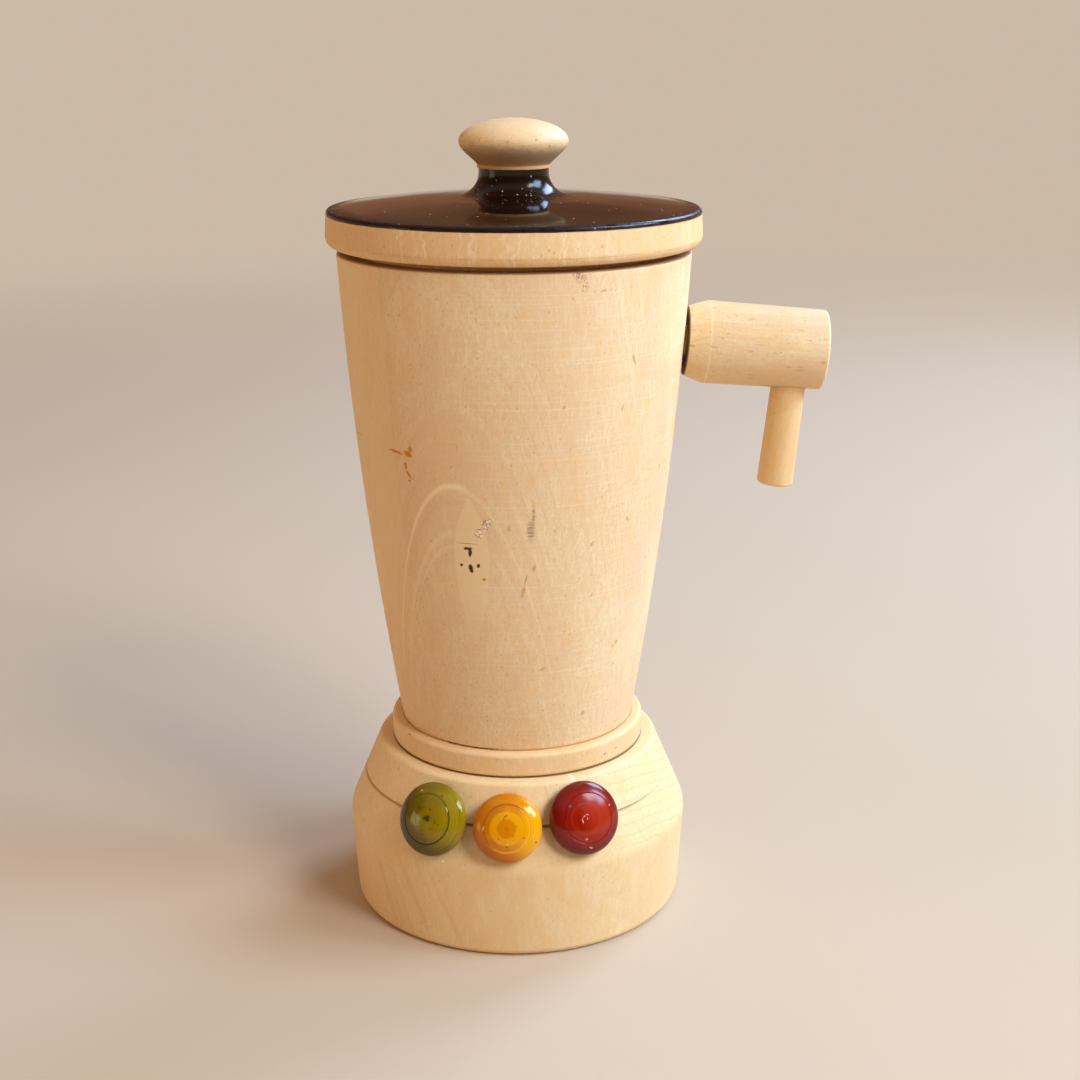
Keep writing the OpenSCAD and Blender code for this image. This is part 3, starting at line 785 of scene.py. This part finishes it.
lip = (lid_z + lid_t) * 1000 - 0.9
lacquer = (height + (waver - 0.5) * 0.12).rise(lip - 0.05, lip + 0.05)
lacquer_edge = height.near(lip, 0.05, 0.22) * turn.near(90, 60, 90)
lid_wood.paint((0.50, 0.20, 0.05), lacquer_edge * 0.6)
brush = lid_wood.wave_of(lid_wood.from_axis() * 2.2, detail=3)
thin = (height - lip).rise(0.55, 0.0) * 0.6 + (brush - 0.5) * 0.3
coat = lid_wood.mix((0.011, 0.0032, 0.0016), (0.045, 0.012, 0.004), thin.rise(0, 1))
near_neck = lid_wood.from_axis().rise(17, 7.5)
dust = (lid_wood.specks(lid_wood.place, 1.7, 1.7, 0.23, 0.55) * 0.8).most(
    lid_wood.specks(lid_wood.spot, 0.9, 0.9, 0.17, 0.7) * near_neck)
coat = lid_wood.mix(coat, (0.60, 0.46, 0.37), dust * 0.75)
lid_wood.paint(coat, lacquer)
hazy = lid_wood.noise(lid_wood.place, 0.09, 0.09, 0.09, detail=3)
worn = ((height - lip).rise(1.6, 0.9)
        * lid_wood.noise(lid_wood.place, 0.35, 0.35, 1.2).rise(0.35, 0.5))
polish = 0.03 + hazy * 0.09 + dust * 0.4 + worn * 0.3 + near_neck * 0.11
lid_wood.roughness = lid_wood.roughness * (1 - lacquer) + polish * lacquer
lid_wood.height = lid_wood.height * (1 - lacquer) + (hazy * 1.2 + dust * 0.5) * lacquer
lid_finish = lid_wood.done(depth=0.035)
lid = turned("lid_turned", lid_outline, lid_finish)
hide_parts("lid_disc")
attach(lid, "lid")


# ---- Lid knob -----------------------------------------------------------------------------------
# A flattened ball of bare wood over a thin ring, glued into the neck of the lid by a tenon.

knob_low, knob_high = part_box("lid_knob")
knob_z = lid_high.z
lid_knob_r = 10.5 * mm
ring_r = 7 * mm
ring_h = 0.6 * mm
belly_h = 4.9 * mm
knob_swell = 1.2
curve_steps = 28
knob_h = knob_high.z - knob_z
knob_outline = [
    *[(lid_knob_r * math.sin(a), knob_z + belly_h + (knob_h - belly_h) * math.cos(a))
      for a in (math.pi / 2 * i / curve_steps for i in range(curve_steps))],
    *[(ring_r + (lid_knob_r - ring_r) * math.sin(math.pi / 2 * t ** knob_swell),
       knob_z + ring_h + (belly_h - ring_h) * t)
      for t in (1 - i / curve_steps for i in range(curve_steps + 1))],
    (ring_r, knob_z), (knob_tenon_r, knob_z), (knob_tenon_r, knob_low.z), (0, knob_low.z)]
knob_wood = bare_wood("lid_knob_wood", seed=6, heart=(0.3, 0.9, 0.3), warmth=0.05)
height = (knob_wood.part(2) - knob_z * 1000)
# Painted shade: the underside of the knob's belly is darkened where shade falls under it.
under = height.rise(belly_h * 1000 - 0.6, ring_h * 1000 + 0.6)
knob_wood.paint((0.56, 0.27, 0.09), under * 0.55)
gold = height.near(ring_h * 1000 + 0.02, 0.03, 0.12).most(height.near(0.12, 0.03, 0.12))
knob_wood.paint((0.62, 0.30, 0.07), gold * 0.7)
grain = knob_wood.noise(knob_wood.place, 0.5, 0.5, 2.2, detail=3, roughness=0.65).rise(0.5, 0.62)
knob_wood.paint((0.62, 0.36, 0.14), grain * height.rise(7.5, 4.5) * 0.45)
red_specks = knob_wood.specks(knob_wood.spot, 1.3, 1.1, 0.32, 0.7) * height.near(4.2, 1.6, 4.0)
knob_wood.paint((0.45, 0.15, 0.04), red_specks * 0.6)
pitted = knob_wood.noise(knob_wood.place, 2.4, 2.4, 1.6, detail=2).rise(0.52, 0.68)
knob_wood.paint((0.68, 0.42, 0.18), pitted * height.near(4.4, 1.2, 3.0) * 0.45)
knob_wood.roughness -= 0.04
knob_finish = knob_wood.done(depth=0.02)
lid_knob = turned("lid_knob_turned", knob_outline, knob_finish, steps=160)
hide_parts("lid_knob")
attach(lid_knob, "lid")


# ---- Buttons ------------------------------------------------------------------------------------
# Three small turned knobs with a domed head, a thin turned ring and a plain shank that turns in its
# bore. They are lacquered on the lathe in green, yellow and red, and polished.

head_gap = 0.3 * mm
head_h = 5 * mm
head_belly_h = 1.8 * mm
head_under = 1.4 * mm
head_ring = 0.68
head_ring_w = 0.35 * mm
shank_r = 2 * mm
shank_len = 8 * mm
head_r = {"green": 7.15 * mm, "yellow": 6.7 * mm, "red": 7.15 * mm}
head_steps = 30


def head_outline(r):
    """Outline of a button: the dome with its ring, the rounded underside and the shank."""
    ring_at = math.asin(head_ring)
    ring_half = head_ring_w / 2 / r
    turns = [math.pi / 2 * i / head_steps for i in range(head_steps)]
    dome = [(a, 0) for a in turns if abs(a - ring_at) > 1.6 * ring_half]
    dome += [(ring_at - ring_half, 0), (ring_at, head_ring_w / 3), (ring_at + ring_half, 0)]
    points = sorted((r * math.sin(a), head_gap + head_belly_h
                     + (head_h - head_belly_h) * math.cos(a) - sink) for a, sink in dome)
    for i in range(head_steps // 2 + 1):
        a = math.pi / 2 * (1 - i / (head_steps // 2))
        points.append((r - head_under + head_under * math.sin(a),
                       head_gap + head_belly_h * (1 - math.cos(a))))
    return points + [(shank_r, head_gap), (shank_r, -shank_len), (0, -shank_len)]


class ButtonLacquer(Finish):
    """Polished lacquer with fine rings, in the knob's own place: X right, Y up and Z out."""

    def __init__(self, name, colour, dark, place):
        super().__init__(name + "_lacquer", IOR=1.46)
        self.along(place)
        self.radius = self.from_axis()
        self.sheet = self.scaled(self.place, 1, 1, 0)
        self.right, self.up = self.part(0), self.part(1)
        self.cloud = self.noise(self.place, 0.35, 0.35, 0.35, detail=3)
        self.streak = self.wave_of(self.radius * 1.9, detail=4, roughness=0.75)
        shade = (0.3 + (self.streak - 0.5) * 1.3 + (self.cloud - 0.5) * 0.9
                 + self.radius.rise(4.5, 7.5) * 0.35)
        self.colour = self.mix(colour, dark, shade.rise(0, 1) * 0.8)

    def ring(self, at, half_width, x=0.0, y=0.0):
        return self.from_axis(x, y).near(at, half_width * 0.3, half_width)

    def disc(self, x, y, reach):
        """A soft round patch."""
        return self.from_axis(x, y).rise(reach, reach * 0.3)

    def polished(self, dull=0.0):
        """Ends the finish. What is dull has lost some of its polish."""
        self.roughness = 0.025 + self.cloud * 0.05 + dull
        self.height = self.streak * 0.4 + self.cloud * 0.7
        return self.done(depth=0.01)


def green_lacquer(place):
    """Olive green, with a nearly black ring and a dark smudge on top; painted light on the right,
    painted shade on the left and at the bottom, and a painted reflection left of and below the middle.
    """
    coat = ButtonLacquer("green", (0.25, 0.165, 0.003), (0.075, 0.055, 0.003), place)
    # Painted light: the right side is lighter.
    coat.paint((0.40, 0.28, 0.003), coat.right.rise(-1, 6) * coat.streak.rise(0.3, 0.6) * 0.6)
    # Painted shade: darker on the left and at the bottom.
    coat.paint((0.05, 0.042, 0.003), (coat.right + coat.up * 0.5).rise(0, -6.5) * 0.8)
    coat.paint((0.06, 0.05, 0.002), (coat.up * -1 - coat.right * 0.1).rise(1.5, 6) * 0.65)
    # Painted reflection: a pale grey patch left of and below the middle.
    coat.paint((0.33, 0.28, 0.05), coat.disc(-1.7, -0.9, 2.2) * coat.streak.rise(0.3, 0.6) * 0.6)
    coat.paint((0.05, 0.04, 0.002), coat.disc(-3.0, 3.0, 3.0) * 0.4)
    coat.paint((0.30, 0.22, 0.01), coat.disc(1.2, -1.2, 1.8) * 0.4)
    sides = (coat.right - coat.up).rise(-5, 4) * 0.75 + 0.25
    coat.paint((0.016, 0.02, 0.002), coat.ring(4.86, 0.26) * sides * 0.7)
    coat.paint((0.05, 0.05, 0.004), coat.ring(2.2, 0.25) * coat.cloud.rise(0.4, 0.6) * 0.5)
    smudge = coat.marks(coat.sheet, (0.3, 0.3, 0.75, 0.4, 20), (0.6, 0.0, 0.4, 0.35, 0), soft=0.7)
    coat.paint((0.03, 0.015, 0.004), smudge * 0.85)
    dots = coat.marks(coat.sheet, (0.7, 2.0, 0.22, 0.2, 0), (-1.9, 1.9, 0.3, 0.12, 50),
                      (2.2, 4.9, 0.25, 0.2, 0), (3.0, -0.6, 0.2, 0.12, 80),
                      (-0.1, -3.0, 0.35, 0.12, 5), (-2.6, -2.0, 0.3, 0.14, -30))
    coat.paint((0.02, 0.02, 0.005), dots * 0.6)
    coat.paint((0.75, 0.72, 0.35), coat.marks(coat.sheet, (-2.5, 5.1, 0.2, 0.14, 30)) * 0.8)
    return coat.polished()


def yellow_lacquer(place):
    """Warm yellow, with a darker disc in a light band on top and an orange arc round them; painted
    light on the right, painted shade on the left and a painted reflection at the left edge.
    """
    coat = ButtonLacquer("yellow", (0.69, 0.235, 0.001), (0.43, 0.115, 0.001), place)
    # Painted shade: darker at the lower left and in a patch at the upper left.
    coat.paint((0.38, 0.085, 0.001), (coat.right + coat.up).rise(-2, -8.5) * 0.6)
    coat.paint((0.40, 0.095, 0.001), coat.disc(-2.9, 2.2, 3.8) * 0.4)
    # Painted light: the right side is lighter.
    coat.paint((0.88, 0.41, 0.002), coat.right.rise(1.0, 5.0) * 0.65)
    coat.paint((0.78, 0.34, 0.002), coat.radius.near(2.5, 0.5, 1.0) * 0.8)
    coat.paint((0.62, 0.20, 0.001), coat.radius.rise(2.0, 1.6) * 0.8)
    coat.paint((0.50, 0.14, 0.001), coat.radius.rise(0.7, 0.2) * 0.6)
    coat.paint((0.46, 0.13, 0.001), coat.ring(4.56, 0.4)
               * ((coat.up - coat.right).rise(-1.0, 4.5) * 0.85 + 0.05))
    # Painted light: the ring's groove is lightened at the lower right, against its own shade.
    coat.paint((0.88, 0.40, 0.02), coat.ring(4.56, 0.3) * (coat.right - coat.up).rise(-1, 3) * 0.7)
    strokes = coat.marks(coat.sheet, (-0.2, 2.4, 0.42, 0.12, 40), (-0.55, 1.8, 0.25, 0.12, 60),
                         (0.1, -3.4, 0.2, 0.18, 0), (-1.5, -1.9, 0.18, 0.15, 0),
                         (3.3, -1.7, 0.2, 0.14, 0), (5.6, -2.5, 0.2, 0.18, 0))
    coat.paint((0.16, 0.045, 0.002), strokes * 0.75)
    rim_specks = coat.ring(2.0, 0.3) * coat.specks(coat.sheet, 0.7, 0.7, 0.22, 0.5)
    coat.paint((0.30, 0.10, 0.003), rim_specks * 0.6)
    coat.paint((0.62, 0.17, 0.001), coat.marks(coat.sheet, (3.1, 4.7, 0.8, 0.4, -30)) * 0.6)
    # Pale marks: the thin streak at the left edge is a painted reflection, the small spot below the
    # middle a pale speck.
    coat.paint((0.95, 0.75, 0.40), coat.marks(coat.sheet, (-4.5, 0.0, 0.45, 0.14, 75),
                                              (0.2, -3.0, 0.2, 0.14, 0)) * 0.6)
    return coat.polished()


def red_lacquer(place):
    """Deep red, darker towards the edge, with two faint rings and specks where the polish ended;
    painted shade on the left and painted light on the right.
    """
    coat = ButtonLacquer("red", (0.31, 0.011, 0.001), (0.15, 0.004, 0.001), place)
    coat.paint((0.085, 0.003, 0.002), coat.radius.rise(4.4, 7.0) * 0.8)
    # Painted shade: darker on the left side.
    coat.paint((0.20, 0.005, 0.003), (coat.right - coat.up * 0.3).rise(0, -6) * 0.5)
    # Painted light: a lighter red patch on the right, where the highlight spreads.
    coat.paint((0.46, 0.04, 0.014), coat.disc(2.2, 0.4, 4.6) * 0.45)
    coat.paint((0.52, 0.045, 0.012), coat.ring(2.9, 0.4, -0.8, 0.0) * 0.2)
    coat.paint((0.20, 0.006, 0.003), coat.ring(5.0, 0.35, -0.4, 0.0) * 0.4)
    swirl = coat.marks(coat.sheet, (-1.6, -0.3, 0.45, 0.13, 100), (-1.2, 0.5, 0.3, 0.11, 30),
                       (-0.5, 0.75, 0.25, 0.11, -10), (-0.6, 0.0, 0.25, 0.09, 70),
                       (-1.2, -3.9, 0.25, 0.18, 0), (-0.3, -5.7, 0.35, 0.16, -30),
                       (4.7, 1.7, 0.2, 0.13, 60))
    coat.paint((0.80, 0.48, 0.42), swirl * 0.6)
    coat.paint((0.10, 0.10, 0.14), coat.marks(coat.sheet, (-3.5, 2.9, 0.3, 0.25, 0)) * 0.8)
    return coat.polished(coat.disc(3.2, 2.8, 8.0) * 0.16)


for name, lacquer_of in (("green", green_lacquer), ("yellow", yellow_lacquer),
                         ("red", red_lacquer)):
    place = knob_places[name]
    button = turned(f"button_{name}_turned", head_outline(head_r[name]), lacquer_of(place),
                    place, steps=160)
    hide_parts("button_" + name)
    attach(button, name + "_knob")


# ---- Studio -------------------------------------------------------------------------------------
# A plain pale floor under soft light: a large lamp in front, cool window lamps on the right and
# faint warm ones on the left, in a dim brown room with a pale ceiling. The camera stands where the
# photograph was taken.

floor_half = 30
paper = (0.60, 0.49, 0.385)
floor_mesh = bpy.data.meshes.new("floor")
floor_mesh.from_pydata([(x * floor_half, y * floor_half, 0)
                        for x, y in ((-1, -1), (1, -1), (1, 1), (-1, 1))], [], [(0, 1, 2, 3)])
floor = bpy.data.objects.new("floor", floor_mesh)
bpy.context.scene.collection.objects.link(floor)
floor_paper = Finish("floor_paper", IOR=1.3)
floor_tone = floor_paper.noise(floor_paper.place, 0.004, 0.004, 0.004)
floor_paper.colour = floor_paper.mix((0.55, 0.425, 0.305), (0.59, 0.46, 0.335), floor_tone)
floor_paper.roughness, floor_paper.height = 0.9, floor_tone
floor_mesh.materials.append(floor_paper.done(depth=0.0, distant=(paper, 350, 1100)))

object_middle = Vector((0, 0, 80 * mm))
lamp_far = 1.2


def soft_lamp(name, azimuth, elevation, width, height, watts, colour, mirrored=True):
    """A rectangular lamp that faces the toy. Azimuth 0 is in front of it and 90 on its right."""
    light = bpy.data.lights.new(name, "AREA")
    light.shape, light.size, light.size_y = "RECTANGLE", width, height
    light.energy, light.color = watts, colour
    lamp = bpy.data.objects.new(name, light)
    a, e = math.radians(azimuth), math.radians(elevation)
    towards = Vector((math.sin(a) * math.cos(e), -math.cos(a) * math.cos(e), math.sin(e)))
    lamp.location = object_middle + towards * lamp_far
    lamp.rotation_euler = towards.to_track_quat("Z", "Y").to_euler()
    lamp.visible_glossy = mirrored
    bpy.context.scene.collection.objects.link(lamp)


soft_lamp("front_light", 41, 35, 0.3, 0.5, 9.6, (0.84, 0.87, 0.90), mirrored=False)
soft_lamp("small_window", 62, 45, 0.22, 0.34, 3.5, (0.84, 0.88, 1.0))
soft_lamp("side_window", 84, 35, 0.5, 0.5, 12.4, (0.42, 0.67, 1.0))
soft_lamp("back_window", 135, 35, 0.5, 0.5, 10.7, (0.50, 0.69, 1.0))
soft_lamp("left_window", -76, 5, 0.36, 0.26, 0.55, (1.0, 0.93, 0.66))
soft_lamp("warm_fill", -75, 20, 1.2, 1.0, 3.6, (1.0, 0.57, 0.27), mirrored=False)

world = bpy.data.worlds.new("room")
world.use_nodes = True
room = Nodes(world.node_tree)
direction = room.node("ShaderNodeTexCoord", output="Generated")
back, up = room.axis(direction, 1), room.axis(direction, 2)
wall = room.mix((0.09, 0.055, 0.03), (0.36, 0.16, 0.085), back.rise(-0.4, 0.6))
clouds = room.noise(direction, 3.0, 3.0, 5.0)
wall = room.mix(wall, (0.16, 0.07, 0.035), clouds.rise(0.45, 0.65) * 0.7)
low = room.mix(paper, wall, up.rise(0.015, 0.06))
sky = room.mix(low, (0.42, 0.38, 0.32), up.rise(0.45, 0.85))
backdrop = room.node("ShaderNodeBackground", (), {"Color": sky, "Strength": 1.0})
room.node("ShaderNodeOutputWorld", (), {"Surface": backdrop})
bpy.context.scene.world = world

camera_place = (-6.126 * mm, -339.525 * mm, 176.39 * mm)
camera_pan, camera_tilt, camera_roll = -1.851, 16.563, -0.147
camera_data = bpy.data.cameras.new("camera")
camera_data.sensor_width = 36
camera_data.lens = 58.163
camera_data.clip_start = 0.01
camera = bpy.data.objects.new("camera", camera_data)
camera.matrix_world = (Matrix.Translation(camera_place)
                       @ Matrix.Rotation(math.radians(camera_pan), 4, "Z")
                       @ Matrix.Rotation(math.radians(90 - camera_tilt), 4, "X")
                       @ Matrix.Rotation(math.radians(camera_roll), 4, "Z"))
bpy.context.scene.collection.objects.link(camera)
bpy.context.scene.camera = camera
bpy.context.scene.view_settings.view_transform = "Standard"
